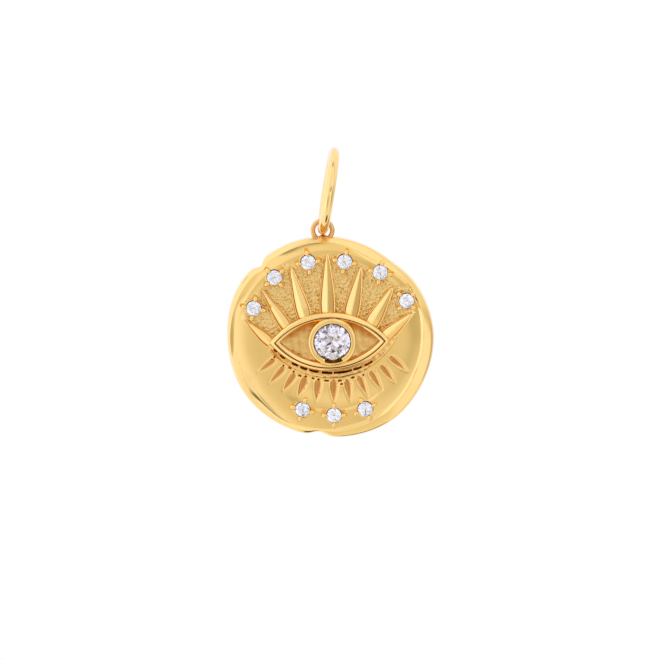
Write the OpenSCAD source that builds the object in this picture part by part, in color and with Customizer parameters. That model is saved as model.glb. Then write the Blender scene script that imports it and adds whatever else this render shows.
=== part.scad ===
// Evil-eye coin pendant. A cast, gold-plated coin carries a raised almond eye with a round stone
// in a bezel, seven leaf-shaped rays over a sunk ground, eleven engraved lashes and nine small
// stones in prongs. A small loop soldered to the coin's top edge hangs on a plain round ring.
// The coin faces -Y. The origin is the ring's inner top, where a chain would carry it.

/* [Coin] */
// Typical diameter of the coin
coin_d = 20; // [16:0.5:26]
// Thickness from the back to the rim's crest
coin_t = 1.7; // [1.4:0.05:2.2]
// Height of the smooth field above the coin's middle plane
field_z = 0.32; // [0.2:0.02:0.4]
// Height of the sunk ground between the rays
ground_z = 0.12; // [0:0.02:0.2]

/* [Eye] */
// Length of the almond frame from tip to tip
eye_len = 11.7; // [9:0.1:12.5]
// Height of the almond frame
eye_h = 5.8; // [5.2:0.05:6.2]
// Width of the frame's metal
eye_band = 0.45; // [0.3:0.05:0.6]
// Height of the frame's top above the middle plane
eye_z = 0.98; // [0.8:0.02:1.2]
// Turn of the eye on the coin
eye_turn = -2.5; // [-4:0.1:4]
// How far the ledge of the lower lid stands out below the frame
lid_drop = 0.95; // [0.5:0.05:1.2]
// Height of the lid's ledge
lid_z = 0.54; // [0.4:0.02:0.7]
// Height of the eye's floor
eye_floor_z = 0.16; // [0:0.02:0.3]

/* [Rays and lashes] */
// Width of the widest ray near its root
ray_w = 1.55; // [0.9:0.05:1.7]
// Height of a ray's ridge above the ground
ray_h = 0.62; // [0.3:0.02:0.7]
// Height of a ray's flat border above the ground
ray_border_h = 0.28; // [0.1:0.02:0.3]
// Length of the longest lash
lash_len = 2; // [1.5:0.05:2.2]
// Width of the widest lash
lash_w = 0.62; // [0.3:0.02:0.7]
// Depth of a lash below the field
lash_deep = 0.22; // [0.1:0.02:0.3]

/* [Stones] */
// Diameter of the centre stone
center_d = 3.5; // [3:0.05:3.7]
// Diameter of a small stone
accent_d = 1.45; // [1.2:0.05:1.5]
// Clear space between a stone and its metal
stone_gap = 0.04; // [0.03:0.01:0.06]
// Wall of the centre stone's bezel
bezel_wall = 0.5; // [0.35:0.05:0.6]
// Height of the bezel's lip above the middle plane
bezel_z = 1.2; // [1:0.05:1.4]
// Diameter of a prong
prong_d = 0.44; // [0.3:0.02:0.5]
// Height of a prong's top above the middle plane
prong_z = 0.86; // [0.7:0.02:1]

/* [Loop and ring] */
// Outer diameter of the small loop on the coin
loop_d = 2.35; // [2.3:0.05:2.5]
// Wire of the small loop
loop_wire = 0.47; // [0.4:0.01:0.5]
// Outer diameter of the ring that a chain carries
ring_d = 8.5; // [7.5:0.1:10]
// Wire of the ring
ring_wire = 1; // [0.8:0.05:1]
// Lean of the ring to the right of the coin's own axis
ring_lean = 12.2; // [0:0.2:20]

/* [Hidden] */
$fn = 48;
gold = "#e6c07a";
ring_gold = "#efcf8c";
crystal = "#eef0f4";

// Everything below scales with the coin's diameter
k = coin_d / 20;
half_t = coin_t / 2;

// Coin edge and inner crease of the rim every 30 degrees, anticlockwise from the right
EDGE_R = [9.95, 9.72, 9.54, 9.92, 10.14, 10.31, 10.11, 10.16, 9.98, 10, 10.19, 10.01];
CREASE_R = [8.7, 8.95, 8.25, 8.57, 8.69, 9.05, 9.35, 9.1, 9.34, 8.95, 8.72, 8.6];

// Dents in the edge: angle, depth, half width in degrees
DENT_AT = 0;
DENT_DEPTH = 1;
DENT_HALF = 2;
DENTS = [[131.3, 0.42, 3.6], [259.5, 0.48, 5.5], [47, 0.12, 10]];

// Cross section of the coin from the front's middle to the back's middle.
// A row is a share of the field's radius, a share of the rim's width, and a height.
ROW_FIELD = 0;
ROW_RIM = 1;
ROW_Z = 2;
RIM_ROWS = [[0.45, 0, field_z], [0.93, 0, field_z], [1, 0, field_z - 0.06], [1, 0.18, 0.62],
    [1, 0.42, half_t], [1, 0.72, half_t - 0.05], [1, 0.93, 0.56], [1, 1, 0.2], [1, 1, -0.46],
    [1, 0.9, -half_t + 0.08], [1, 0.7, -half_t], [0.45, 0, -half_t]];

// The ground between the first and the last ray is sunk, with a short slope at its two ends
GROUND_FROM = 11;
GROUND_TO = 169;
GROUND_SLOPE = 5;

// Rays from the left to the right: tip, root and share of the full width
TIP_X = 0;
TIP_Y = 1;
ROOT_X = 2;
ROOT_Y = 3;
RAY_SHARE = 4;
RAYS = [[-8.14, 2.1, -5.94, -0.13, 0.77], [-6.46, 5.13, -4.13, 1.08, 0.82], [-3.56, 7.23, -2.42, 2.02, 0.98],
    [0.05, 8.36, -0.25, 2.28, 1], [3.27, 6.82, 1.93, 1.9, 1.02], [6.21, 4.61, 3.76, 0.84, 1.01],
    [8.03, 1.97, 4.95, -0.42, 0.93]];

// Lashes from the left to the right: middle, direction, and shares of the full length and width
LASH_X = 0;
LASH_Y = 1;
LASH_DIR = 2;
LASH_LONG = 3;
LASH_WIDE = 4;
LASHES = [[-6.34, -2.33, 214, 0.82, 0.62], [-5.43, -3.35, 224, 0.89, 0.72], [-4.29, -4.08, 233, 0.86, 0.85],
    [-3.1, -4.59, 245, 0.92, 1], [-1.65, -5.01, 260, 0.92, 0.95], [-0.07, -5.16, 267, 1, 0.96],
    [1.35, -5.2, 275, 1, 0.9], [2.75, -4.87, 291, 0.93, 0.76], [4.02, -4.41, 298, 0.95, 0.72],
    [5.18, -3.82, 305, 0.91, 0.74], [6.24, -2.92, 317, 0.94, 0.68]];

// Small stones, six over the rays from the left and three under the lashes: place and turn of prongs
STONE_X = 0;
STONE_Y = 1;
STONE_TURN = 2;
STONES = [[-7.34, 3.37, -14], [-5.15, 6.27, 38], [-1.81, 7.56, 4], [1.71, 7.41, -14], [5.08, 6.16, -14],
    [7.46, 3.22, 43], [-3.22, -6.93, -19], [-0.19, -7.69, -3], [2.88, -7.26, 22]];

eye_mid = [-0.18, -0.4] * k;
center_mid = [0.06, -0.29] * k;
center_girdle_z = bezel_z - 0.16;
accent_girdle_z = 0.5;

// The coin hangs by its loop from the lowest point of the ring's wire
hang_gap = 0.04;
loop_mid = [-0.24, 10.53] * k;
loop_r = (loop_d - loop_wire) / 2;
ring_r = (ring_d - ring_wire) / 2;
wire_drop = ring_d - 2 * ring_wire + ring_wire / 2;
pin_x = -wire_drop * sin(ring_lean);
pin_z = -wire_drop * cos(ring_lean);
loop_z = pin_z - (loop_r - loop_wire / 2 - ring_wire / 2 - hang_gap);
coin_x = pin_x - loop_mid.x;
coin_z = loop_z - loop_mid.y;

SECTORS = 72;
function turn(a) = ((a % 360) + 540) % 360 - 180;
function cyclic(t, i) = t[(i + len(t)) % len(t)];
function smooth(p, q, r, s, f) =
    q + 0.5 * f * (r - p + f * (2 * p - 5 * q + 4 * r - s + f * (3 * (q - r) + s - p)));
function around(t, a) =
    let (u = a * len(t) / 360, i = floor(u))
    smooth(cyclic(t, i - 1), cyclic(t, i), cyclic(t, i + 1), cyclic(t, i + 2), u - i);
function dent(d, a) = d[DENT_DEPTH] * exp(-pow(turn(a - d[DENT_AT]) / d[DENT_HALF], 2));
function dents(a) = [for (d = DENTS) dent(d, a)] * [for (d = DENTS) 1];
function edge_r(a) = k * (around(EDGE_R, a) - dents(a));
function crease_r(a) = k * around(CREASE_R, a);
function ramp(x) = let (t = max(0, min(1, x))) t * t * (3 - 2 * t);
function sunk(a) = ramp((a - GROUND_FROM) / GROUND_SLOPE) * ramp((GROUND_TO - a) / GROUND_SLOPE);
function row_r(row, a) = crease_r(a) * row[ROW_FIELD] + (edge_r(a) - crease_r(a)) * row[ROW_RIM];
function in_field(row) = row[ROW_RIM] == 0 && row[ROW_Z] > 0 ? 1 : 0;
function row_z(row, a) = row[ROW_Z] - in_field(row) * sunk(a) * (field_z - ground_z);
function blank_point(row, a) = [row_r(row, a) * cos(a), row_r(row, a) * sin(a), row_z(row, a)];

// Round brilliant of radius r on its girdle: table, stars, kites, girdle band and pavilion
CROWN_H = 0.3;
TABLE_R = 0.56;
STAR_R = 0.78;
BAND_H = 0.05;
PAVILION_H = 0.84;
LOWER_R = 0.3;
STEP = 22.5;
function on_circle(r, a, z) = [r * cos(a), r * sin(a), z];
function kite_z(share, depth, flat) = depth * (1 - share * cos(STEP)) / (1 - flat);
STAR_Z = BAND_H + kite_z(STAR_R, CROWN_H, TABLE_R);
LOWER_Z = -kite_z(LOWER_R, PAVILION_H, 0);
function brilliant_points(r) = concat(
    [for (i = [0:7]) on_circle(TABLE_R * r, 2 * STEP * i, r * (BAND_H + CROWN_H))],
    [for (i = [0:7]) on_circle(STAR_R * r, 2 * STEP * i + STEP, r * STAR_Z)],
    [for (i = [0:15]) on_circle(r, STEP * i, r * BAND_H)],
    [for (i = [0:15]) on_circle(r, STEP * i, 0)],
    [for (i = [0:7]) on_circle(LOWER_R * r, 2 * STEP * i + STEP, r * LOWER_Z)],
    [[0, 0, -r * PAVILION_H]]);
STAR_AT = 8;
TOP_AT = 16;
LOW_AT = 32;
PAV_AT = 48;
CULET_AT = 56;
function brilliant_faces() = concat(
    [[for (i = [7:-1:0]) i]],
    [for (i = [0:7]) [i, (i + 1) % 8, STAR_AT + i]],
    [for (i = [0:7]) [i, STAR_AT + i, TOP_AT + 2 * i, STAR_AT + (i + 7) % 8]],
    [for (i = [0:7]) [STAR_AT + i, TOP_AT + 2 * i + 1, TOP_AT + 2 * i]],
    [for (i = [0:7]) [STAR_AT + i, TOP_AT + (2 * i + 2) % 16, TOP_AT + 2 * i + 1]],
    [for (j = [0:15]) [TOP_AT + j, TOP_AT + (j + 1) % 16, LOW_AT + (j + 1) % 16, LOW_AT + j]],
    [for (i = [0:7]) [PAV_AT + i, LOW_AT + 2 * i, LOW_AT + 2 * i + 1]],
    [for (i = [0:7]) [PAV_AT + i, LOW_AT + 2 * i + 1, LOW_AT + (2 * i + 2) % 16]],
    [for (i = [0:7]) [CULET_AT, PAV_AT + (i + 7) % 8, LOW_AT + 2 * i, PAV_AT + i]]);

// Places what is drawn flat on the coin, with its front up, into the hanging frame
module on_coin() {
    translate([coin_x, 0, coin_z])
        rotate([90, 0, 0])
            children();
}

// Disc with a sunk fan of ground and a soft, uneven rim
module blank() {
    rows = len(RIM_ROWS);
    step = 360 / SECTORS;
    points = concat(
        [[0, 0, field_z]],
        [for (row = RIM_ROWS) for (i = [0:SECTORS - 1]) blank_point(row, i * step)],
        [[0, 0, -half_t]]);
    last = len(points) - 1;
    faces = concat(
        [for (i = [0:SECTORS - 1]) [0, 1 + (i + 1) % SECTORS, 1 + i]],
        [for (j = [0:rows - 2]) for (i = [0:SECTORS - 1])
            let (a = 1 + j * SECTORS, n = (i + 1) % SECTORS) [a + i, a + n, a + SECTORS + i]],
        [for (j = [0:rows - 2]) for (i = [0:SECTORS - 1])
            let (a = 1 + j * SECTORS, n = (i + 1) % SECTORS) [a + n, a + SECTORS + n, a + SECTORS + i]],
        [for (i = [0:SECTORS - 1]) [last, last - SECTORS + i, last - SECTORS + (i + 1) % SECTORS]]);
    polyhedron(points, faces);
}

// Almond prism between two heights, drawn as two crossing discs
module almond(length, height, z0, z1) {
    r = (length * length + height * height) / (4 * height);
    translate([eye_mid.x, eye_mid.y, z0])
        rotate(eye_turn)
            intersection() {
                translate([0, height / 2 - r, 0]) cylinder(r = r, h = z1 - z0, $fn = 96);
                translate([0, r - height / 2, 0]) cylinder(r = r, h = z1 - z0, $fn = 96);
            }
}

// Blade-shaped ray from its root under the frame to its tip: a flat border on each side of a ridge
module ray(tip, root, width) {
    long = norm(tip - root);
    dir = atan2(tip.y - root.y, tip.x - root.x);
    foot = -0.5;
    border_z = ground_z + ray_border_h;
    border_in = 0.68;
    // each row is a share of the length, a share of half the width, and one of the ridge's height
    stations = [[0, 0.94, 1], [0.2, 1, 1], [0.58, 0.68, 0.92], [0.86, 0.38, 0.72], [0.97, 0.24, 0.55],
        [1, 0.1, 0.5]];
    n = len(stations);
    function section(s) = let (x = s[0] * long, y = s[1] * width / 2, z = ground_z + s[2] * ray_h)
        [[x, -y, foot], [x, -y, border_z], [x, -border_in * y, border_z], [x, 0, max(z, border_z + 0.02)],
            [x, border_in * y, border_z], [x, y, border_z], [x, y, foot]];
    m = len(section(stations[0]));
    points = [for (s = stations) each section(s)];
    faces = concat(
        [[for (i = [m - 1:-1:0]) i]],
        [for (j = [0:n - 2]) for (i = [0:m - 1]) [m * j + (i + 1) % m, m * (j + 1) + i, m * j + i]],
        [for (j = [0:n - 2]) for (i = [0:m - 1])
            [m * j + (i + 1) % m, m * (j + 1) + (i + 1) % m, m * (j + 1) + i]],
        [[for (i = [0:m - 1]) m * (n - 1) + i]]);
    translate([root.x, root.y, 0])
        rotate(dir)
            polyhedron(points, faces);
}

module rays() {
    for (r = RAYS)
        ray([r[TIP_X], r[TIP_Y]] * k, [r[ROOT_X], r[ROOT_Y]] * k, r[RAY_SHARE] * ray_w);
}

// Solid almond with the ledge of the lower lid and the round block of the bezel
module eye_frame() {
    lid_inset = 0.3;
    almond(eye_len * k, eye_h * k, -0.4, eye_z);
    translate([0, -lid_drop, 0])
        almond((eye_len - lid_inset) * k, (eye_h - lid_inset) * k, -0.4, lid_z);
    translate([center_mid.x, center_mid.y, -0.4])
        cylinder(d = center_d + 2 * (stone_gap + bezel_wall), h = bezel_z + 0.4);
}

// Space inside the frame: down to the lip, and inside the lip down to the floor
module eye_opening() {
    top = bezel_z + 1;
    difference() {
        union() {
            almond((eye_len - 3 * eye_band) * k, (eye_h - 2 * eye_band) * k, eye_z - 0.16, top);
            almond((eye_len - 4.6 * eye_band) * k, (eye_h - 3.2 * eye_band) * k, eye_floor_z, top);
        }
        translate([center_mid.x, center_mid.y, -half_t])
            cylinder(d = center_d + 2 * (stone_gap + bezel_wall), h = 2 * top);
    }
}

// Engraved lash, a narrow leaf cut by two crossing discs
module lash(x, y, dir, length, width) {
    r = (length * length + width * width) / (4 * width);
    translate([x, y, field_z - lash_deep])
        rotate(dir)
            intersection() {
                translate([0, width / 2 - r, 0]) cylinder(r = r, h = 1);
                translate([0, r - width / 2, 0]) cylinder(r = r, h = 1);
            }
}

// Straight-walled seat for a stone, with a narrower well for its point
module seat(d, girdle_z) {
    r = d / 2 + stone_gap;
    translate([0, 0, girdle_z - 0.3 * d]) cylinder(r = r, h = 3);
    translate([0, 0, girdle_z - 0.46 * d]) cylinder(r = 0.55 * r, h = 1);
}

// Low collar and four round-topped prongs of a small stone
module prongs() {
    collar_r = accent_d / 2 + stone_gap + 0.14;
    prong_at = accent_d / 2 + stone_gap + prong_d / 2;
    translate([0, 0, -0.4]) cylinder(r = collar_r, h = 0.4 + accent_girdle_z - 0.12);
    for (a = [0:90:270])
        rotate(a) {
            translate([prong_at, 0, -0.4]) cylinder(d = prong_d, h = 0.4 + prong_z - prong_d / 2, $fn = 24);
            translate([prong_at, 0, prong_z - prong_d / 2]) sphere(d = prong_d, $fn = 24);
        }
}

module at_stone(i) {
    translate([STONES[i][STONE_X], STONES[i][STONE_Y], 0] * k)
        rotate(STONES[i][STONE_TURN])
            children();
}

module loop() {
    translate([loop_mid.x, loop_mid.y, 0])
        rotate_extrude($fn = 64)
            translate([loop_r, 0]) circle(d = loop_wire, $fn = 32);
}

module coin() {
    color(gold)
        on_coin()
            difference() {
                union() {
                    difference() {
                        union() {
                            blank();
                            rays();
                            eye_frame();
                        }
                        eye_opening();
                        for (l = LASHES)
                            lash(l[LASH_X] * k, l[LASH_Y] * k, l[LASH_DIR],
                                l[LASH_LONG] * lash_len, l[LASH_WIDE] * lash_w);
                    }
                    for (i = [0:len(STONES) - 1])
                        at_stone(i) prongs();
                    loop();
                }
                for (i = [0:len(STONES) - 1])
                    at_stone(i) seat(accent_d, accent_girdle_z);
                translate([center_mid.x, center_mid.y, 0]) seat(center_d, center_girdle_z);
            }
}

module bail_ring() {
    color(ring_gold)
        rotate([0, ring_lean, 0])
            translate([0, 0, ring_wire - ring_d / 2])
                rotate([0, 90, 0])
                    rotate_extrude($fn = 96)
                        translate([ring_r, 0]) circle(d = ring_wire, $fn = 48);
}

// Round brilliant with its girdle at height z
module brilliant(d, z) {
    translate([0, 0, z])
        polyhedron(brilliant_points(d / 2), brilliant_faces());
}

module center_stone() {
    color(crystal)
        on_coin()
            translate([center_mid.x, center_mid.y, 0])
                brilliant(center_d, center_girdle_z);
}

module accent_stone(i) {
    color(crystal)
        on_coin()
            at_stone(i)
                rotate(STEP) brilliant(accent_d, accent_girdle_z);
}

coin();
bail_ring();
center_stone();
for (i = [0:len(STONES) - 1])
    accent_stone(i);
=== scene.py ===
"""Evil-eye coin pendant: the finish of a hand-shaped, gold-plated casting set with clear stones.

The sections follow the bench: studio, gold, coin, eye frame, lower lid, bezel, rays, settings,
stones, loop and ring. Sizes in the sections are millimetres on the coin, seen from its front:
u to the right, v up and w out of the coin's middle plane.
"""

import math

import bmesh
import bpy
import numpy as np
from mathutils import Matrix, Vector


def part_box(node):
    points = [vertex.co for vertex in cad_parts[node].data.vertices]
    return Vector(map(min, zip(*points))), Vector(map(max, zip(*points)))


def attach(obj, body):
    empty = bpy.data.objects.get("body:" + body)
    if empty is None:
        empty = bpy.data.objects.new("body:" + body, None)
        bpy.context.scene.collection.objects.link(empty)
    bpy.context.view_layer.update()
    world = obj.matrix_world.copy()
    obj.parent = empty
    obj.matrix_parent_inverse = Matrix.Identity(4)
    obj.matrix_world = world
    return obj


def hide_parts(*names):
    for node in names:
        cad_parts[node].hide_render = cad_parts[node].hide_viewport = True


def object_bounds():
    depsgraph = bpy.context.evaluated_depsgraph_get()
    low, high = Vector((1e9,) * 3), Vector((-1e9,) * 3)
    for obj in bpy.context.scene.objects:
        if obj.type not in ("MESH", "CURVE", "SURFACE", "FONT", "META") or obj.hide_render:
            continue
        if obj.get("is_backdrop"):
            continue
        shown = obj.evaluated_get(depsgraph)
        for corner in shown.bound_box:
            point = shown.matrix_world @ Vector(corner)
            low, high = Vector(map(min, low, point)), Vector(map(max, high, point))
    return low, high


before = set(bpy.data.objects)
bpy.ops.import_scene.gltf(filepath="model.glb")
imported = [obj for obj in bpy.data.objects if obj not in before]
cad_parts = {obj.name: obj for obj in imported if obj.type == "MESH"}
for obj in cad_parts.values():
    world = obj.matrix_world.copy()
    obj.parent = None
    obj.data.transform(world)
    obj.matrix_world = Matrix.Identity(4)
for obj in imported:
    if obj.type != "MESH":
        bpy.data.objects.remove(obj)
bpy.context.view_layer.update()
scene = bpy.context.scene

# Studio. The pendant hangs free over a wide sheet of pale paper, in a tent of white cloth. The camera
# looks down on the coin by a few degrees, and is tipped so that the coin seems to turn to the left.
MM = 0.001
# Middle of the main stone on the coin, from which the coin's own middle in the frame follows
CENTER_MID = (0.06, -0.29)
stone_low, stone_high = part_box("center_stone")
stone_middle = (stone_low + stone_high) / 2
COIN = Vector((stone_middle.x - CENTER_MID[0] * MM, 0, stone_middle.z - CENTER_MID[1] * MM))
PHOTO_SIDE_PX = 660
PHOTO_PX_PER_MM = 10.3
COIN_PX = (331.4, 337.0)
CAMERA_ELEVATION = 11.5
CAMERA_ROLL = 3.4
LENS, SENSOR = 180, 36
CLIP_FROM, CLIP_TO = 0.01, 10


def toward(azimuth, elevation):
    """Unit direction at degrees to the right of the front and degrees above the level."""
    a, e = math.radians(azimuth), math.radians(elevation)
    return Vector((math.sin(a) * math.cos(e), -math.cos(a) * math.cos(e), math.sin(e)))


def studio_camera():
    distance = PHOTO_SIDE_PX / PHOTO_PX_PER_MM * MM * LENS / SENSOR
    back = toward(0, CAMERA_ELEVATION)
    turn = back.to_track_quat("Z", "Y").to_matrix() @ Matrix.Rotation(-math.radians(CAMERA_ROLL), 3, "Z")
    across = (PHOTO_SIDE_PX / 2 - COIN_PX[0]) / PHOTO_PX_PER_MM * MM
    up = (COIN_PX[1] - PHOTO_SIDE_PX / 2) / PHOTO_PX_PER_MM * MM
    aim = COIN + turn @ Vector((across, up, 0))
    data = bpy.data.cameras.new("studio_camera")
    data.lens = LENS
    data.sensor_width = SENSOR
    data.clip_start, data.clip_end = CLIP_FROM, CLIP_TO
    camera = bpy.data.objects.new("studio_camera", data)
    camera.matrix_world = Matrix.Translation(aim + back * distance) @ turn.to_4x4()
    scene.collection.objects.link(camera)
    return camera


def feed(tree, node, inputs):
    """Gives each input its value, or links it to an output or to another node's first output."""
    for key, value in dict(inputs).items():
        if isinstance(value, bpy.types.Node):
            value = next(output for output in value.outputs if output.enabled)
        if isinstance(value, bpy.types.NodeSocket):
            tree.links.new(value, node.inputs[key])
        else:
            node.inputs[key].default_value = value


def new_node(tree, kind, inputs=(), **settings):
    node = tree.nodes.new(kind)
    for name, value in settings.items():
        setattr(node, name, value)
    feed(tree, node, inputs)
    return node


def math_node(tree, operation, *values, **settings):
    return new_node(tree, "ShaderNodeMath", dict(enumerate(values)), operation=operation, **settings)


def colour_mix(tree, mask, under, over):
    return new_node(tree, "ShaderNodeMix", {"Factor": mask, "A": under, "B": over}, data_type="RGBA")


def colour_ramp(tree, factor, stops, blending="LINEAR"):
    """Ramp through rows of a place from 0 to 1, red, green and blue. The first row is at 0."""
    ramp = new_node(tree, "ShaderNodeValToRGB", {0: factor})
    ramp.color_ramp.interpolation = blending
    marks = ramp.color_ramp.elements
    marks.remove(marks[-1])
    marks[0].color = (*stops[0][1:], 1)
    for place_on_ramp, *colour in stops[1:]:
        marks.new(place_on_ramp).color = (*colour, 1)
    return ramp


def white_to_camera(tree, shader, out):
    """Lets the camera see plain bright white where every other ray meets the shader."""
    seen = new_node(tree, "ShaderNodeLightPath").outputs["Is Camera Ray"]
    white = new_node(tree, "ShaderNodeEmission")
    feed(tree, out, {0: new_node(tree, "ShaderNodeMixShader", {0: seen, 1: shader, 2: white})})


def pale_floor(drop, radius):
    """Sheet of thin paper: white to the camera, and open to the tent's light from below."""
    paper = bpy.data.materials.new("pale_paper")
    paper.use_nodes = True
    tree = paper.node_tree
    tree.nodes.remove(tree.nodes["Principled BSDF"])
    white_to_camera(tree, new_node(tree, "ShaderNodeBsdfTransparent"), tree.nodes["Material Output"])
    mesh = bpy.data.meshes.new("floor")
    bm = bmesh.new()
    bmesh.ops.create_circle(bm, cap_ends=True, segments=96, radius=radius,
                            matrix=Matrix.Translation((0, 0, -drop)))
    bm.to_mesh(mesh)
    bm.free()
    mesh.materials.append(paper)
    floor = bpy.data.objects.new("floor", mesh)
    scene.collection.objects.link(floor)
    floor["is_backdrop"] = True


# The tent's cloth from the back round the left, the front and the right: degrees to the right of
# the front, red, green and blue. The front is its open side, so it is darker there.
TENT_WALL = ((-180, 0.8, 0.84, 1.1), (-150, 1.15, 1.25, 1.8), (-110, 1.2, 1.3, 1.9), (-70, 1.35, 1.45, 2.0),
             (-36, 1.4, 1.5, 1.9), (-29, 0.70, 0.69, 0.66), (-14, 0.66, 0.65, 0.62), (-4, 0.84, 0.84, 0.84),
             (8, 0.9, 0.9, 0.92), (24, 1.2, 1.24, 1.55), (42, 1.2, 1.25, 1.6), (48, 0.68, 0.66, 0.62),
             (75, 0.6, 0.58, 0.54), (82, 0.85, 0.88, 1.0), (130, 0.92, 1.0, 1.3), (155, 1.1, 1.2, 1.7),
             (180, 0.8, 0.84, 1.1))
# Its top and its foot: heights from 1 straight up to -1 straight down where each begins and is full,
# how much of the wall it hides, red, green and blue
TENT_ENDS = ((-0.19, 0.12, 0.65, 1.2, 1.27, 1.55), (-0.4, -0.7, 0.7, 1.1, 1.12, 1.2))
# Openings in the cloth, for the lens and for the stand: azimuth, elevation, half width, soft edge, level
OPENINGS = ((0, CAMERA_ELEVATION, 3, 2.5, 0.25), (22.5, 9, 6.5, 2.5, 0.12), (28, -73, 11, 4, 0.12),
            (0, 84, 6, 5, 0.4))


def soft_mask(tree, value, start, full, most=1):
    """0 up to the start and the most from full on, with a soft rise between them."""
    return new_node(tree, "ShaderNodeMapRange",
                    {"Value": value, "From Min": start, "From Max": full, "To Max": most},
                    interpolation_type="SMOOTHSTEP")


def white_tent():
    world = bpy.data.worlds.new("white_tent")
    scene.world = world
    world.use_nodes = True
    tree = world.node_tree
    tree.nodes.clear()
    where = new_node(tree, "ShaderNodeTexCoord").outputs["Generated"]
    x, y, z = new_node(tree, "ShaderNodeSeparateXYZ", {0: where}).outputs
    azimuth = math_node(tree, "ARCTAN2", x, math_node(tree, "MULTIPLY", y, -1))
    span = new_node(tree, "ShaderNodeMapRange", {"Value": azimuth, "From Min": -math.pi, "From Max": math.pi})
    cloth = colour_ramp(tree, span, [(degrees / 360 + 0.5, *colour) for degrees, *colour in TENT_WALL])
    masks = [(soft_mask(tree, z, start, full, share), colour) for start, full, share, *colour in TENT_ENDS]
    for right, up, half, soft, level in OPENINGS:
        close = new_node(tree, "ShaderNodeVectorMath", {0: where, 1: toward(right, up)},
                         operation="DOT_PRODUCT")
        hole = soft_mask(tree, close, math.cos(math.radians(half + soft)), math.cos(math.radians(half)))
        masks.append((hole, (level, level, level)))
    for mask, colour in masks:
        cloth = colour_mix(tree, mask, cloth, (*colour, 1))
    tent = new_node(tree, "ShaderNodeBackground", {"Color": cloth})
    white_to_camera(tree, tent, new_node(tree, "ShaderNodeOutputWorld"))


scene.camera = studio_camera()
scene.view_settings.view_transform = "Standard"
pale_floor(drop=0.062, radius=0.6)
white_tent()

# Gold. All the metal is one brass casting under pale gold plate: mirror-polished on the rim, field
# and wires, and sandblasted on the sunk ground and the eye's floor. Painted shade makes its colour darker
# and redder in grooves, pits and hollows, where shade falls, and near black in the deepest.
GOLD = (0.90, 0.60, 0.20)
WIRE_GOLD = (0.92, 0.63, 0.23)
# Colour of the sandblasted ground, darker as painted shade of its pits
SHADED_GROUND_GOLD = (0.80, 0.55, 0.19)
# Painted shade: the colour of shaded grooves and hollows, and the near black of the deepest slots and pits
SHADE_GOLD = (0.52, 0.16, 0.018)
BLACK_SHADE = (0.05, 0.022, 0.006)
# Noise in the polish: scale and detail of its clouds, its wiping marks and its slow ripple
POLISH_NOISE = ((420, 3), (5200, 2), (330, 1.5))
WIPE_DEPTH = 0.02
# Levels of the cloudy noise where the polish is at its best and at its dullest, and of the sandblasting
# at the pits' bottoms and between them, for the painted shade in the pits
CLOUD_LOW, CLOUD_HIGH = 0.35, 0.7
PIT_LOW, PIT_HIGH = 0.5, 1.05
BUMP_DEPTH, BUMP_STRENGTH = 0.00006, 0.6
NUMBER, VECTOR, COLOUR = ("NodeSocket" + kind for kind in ("Float", "Vector", "Color"))


def new_group(name, kind, inputs, outputs):
    """Node group with rows of a name, a type and a usual value for its inputs, and its outputs."""
    tree = bpy.data.node_groups.new(name, kind)
    for way, rows in (("INPUT", inputs), ("OUTPUT", outputs)):
        for label, socket, *usual in rows:
            made = tree.interface.new_socket(name=label, in_out=way, socket_type=socket)
            if usual:
                made.default_value = usual[0]
    return tree, new_node(tree, "NodeGroupInput").outputs


def hand_polish_group():
    """Faint cloudy polish: roughness that wanders, a slow ripple and hair-fine wiping marks."""
    tree, given = new_group("hand_polish", "ShaderNodeTree",
                            (("Vector", VECTOR), ("Smooth", NUMBER, 0.08), ("Dull", NUMBER, 0.2),
                             ("Ripple", NUMBER, 0.2)), (("Roughness", NUMBER), ("Height", NUMBER)))
    cloud, wipes, slow = (new_node(tree, "ShaderNodeTexNoise",
                                   {"Vector": given["Vector"], "Scale": scale, "Detail": detail})
                          for scale, detail in POLISH_NOISE)
    spread = new_node(tree, "ShaderNodeMapRange",
                      {"Value": cloud, "From Min": CLOUD_LOW, "From Max": CLOUD_HIGH,
                       "To Min": given["Smooth"], "To Max": given["Dull"]})
    ripple = math_node(tree, "MULTIPLY", slow, given["Ripple"])
    height = math_node(tree, "MULTIPLY_ADD", wipes, WIPE_DEPTH, ripple)
    new_node(tree, "NodeGroupOutput", {"Roughness": spread, "Height": height})
    return tree


def sandblast_group():
    """Packed shallow pits of a sandblasted ground, and a mask that is 0 at the pits' bottoms, for their
    painted shade.
    """
    tree, given = new_group("sandblast", "ShaderNodeTree", (("Vector", VECTOR), ("Pit scale", NUMBER, 5200)),
                            (("Height", NUMBER), ("Pits", NUMBER)))
    spread = {"Vector": given["Vector"], "Scale": given["Pit scale"]}
    pits = new_node(tree, "ShaderNodeTexVoronoi", spread, feature="SMOOTH_F1")
    grain = new_node(tree, "ShaderNodeTexNoise", {**spread, "Detail": 4})
    height = math_node(tree, "ADD", pits, grain)
    shade = new_node(tree, "ShaderNodeMapRange",
                     {"Value": height, "From Min": PIT_LOW, "From Max": PIT_HIGH})
    new_node(tree, "NodeGroupOutput", {"Height": height, "Pits": shade})
    return tree


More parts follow.
